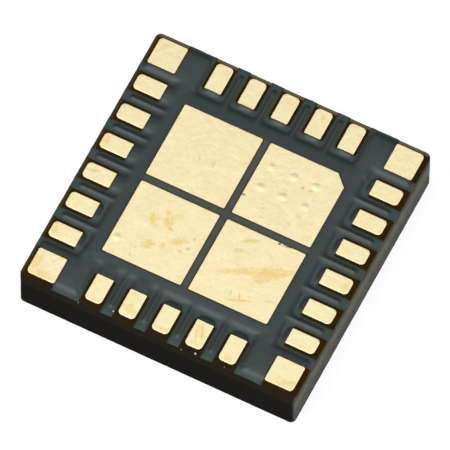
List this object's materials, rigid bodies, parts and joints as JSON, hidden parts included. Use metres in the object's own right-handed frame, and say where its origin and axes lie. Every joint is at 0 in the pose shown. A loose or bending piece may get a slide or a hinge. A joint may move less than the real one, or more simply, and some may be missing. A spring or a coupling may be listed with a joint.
{
  "type": "qfn chip",
  "caption": "Thin square leadless chip package: black moulded body on a laminate, with gold contacts along the sides and corners and inner ground pads on its mask-coated face.",
  "frame": {"origin": "centre of the flat moulded face, which lies on the table as in the picture", "axes": "+Z out of the contact face, +X and +Y along two sides of the body, with the cut-corner ground pad in the +X +Y quarter"},
  "size_m": [0.0042, 0.0042, 0.0008],
  "materials": {
    "moulding_compound": "matte sawn epoxy",
    "laminate": "bare glass and resin laminate",
    "solder_mask": "semi-gloss cured ink",
    "gold_plating": "satin nickel and gold plating",
    "copper_foil": "etched foil",
    "silicon": "polished",
    "die_attach": "cured film",
    "gold_wire": "drawn"
  },
  "bodies": {
    "root": {"mould_cap": "moulding_compound", "laminate_core": "laminate", "ground_copper": "copper_foil", "signal_copper": "copper_foil", "solder_mask": "solder_mask", "land_01": "gold_plating", "land_02": "gold_plating", "land_03": "gold_plating", "land_04": "gold_plating", "land_05": "gold_plating", "land_06": "gold_plating", "land_07": "gold_plating", "land_08": "gold_plating", "land_09": "gold_plating", "land_10": "gold_plating", "land_11": "gold_plating", "land_12": "gold_plating", "land_13": "gold_plating", "land_14": "gold_plating", "land_15": "gold_plating", "land_16": "gold_plating", "land_17": "gold_plating", "land_18": "gold_plating", "land_19": "gold_plating", "land_20": "gold_plating", "land_21": "gold_plating", "land_22": "gold_plating", "corner_land_1": "gold_plating", "corner_land_2": "gold_plating", "corner_land_3": "gold_plating", "corner_land_4": "gold_plating", "ground_pad_1": "gold_plating", "ground_pad_2": "gold_plating", "ground_pad_3": "gold_plating", "ground_pad_4": "gold_plating", "thermal_vias": "copper_foil", "land_vias": "copper_foil", "die_paddle": "copper_foil", "bond_fingers": "gold_plating", "die_attach": "die_attach", "die": "silicon", "bond_wires": "gold_wire"}
  },
  "joints": []
}
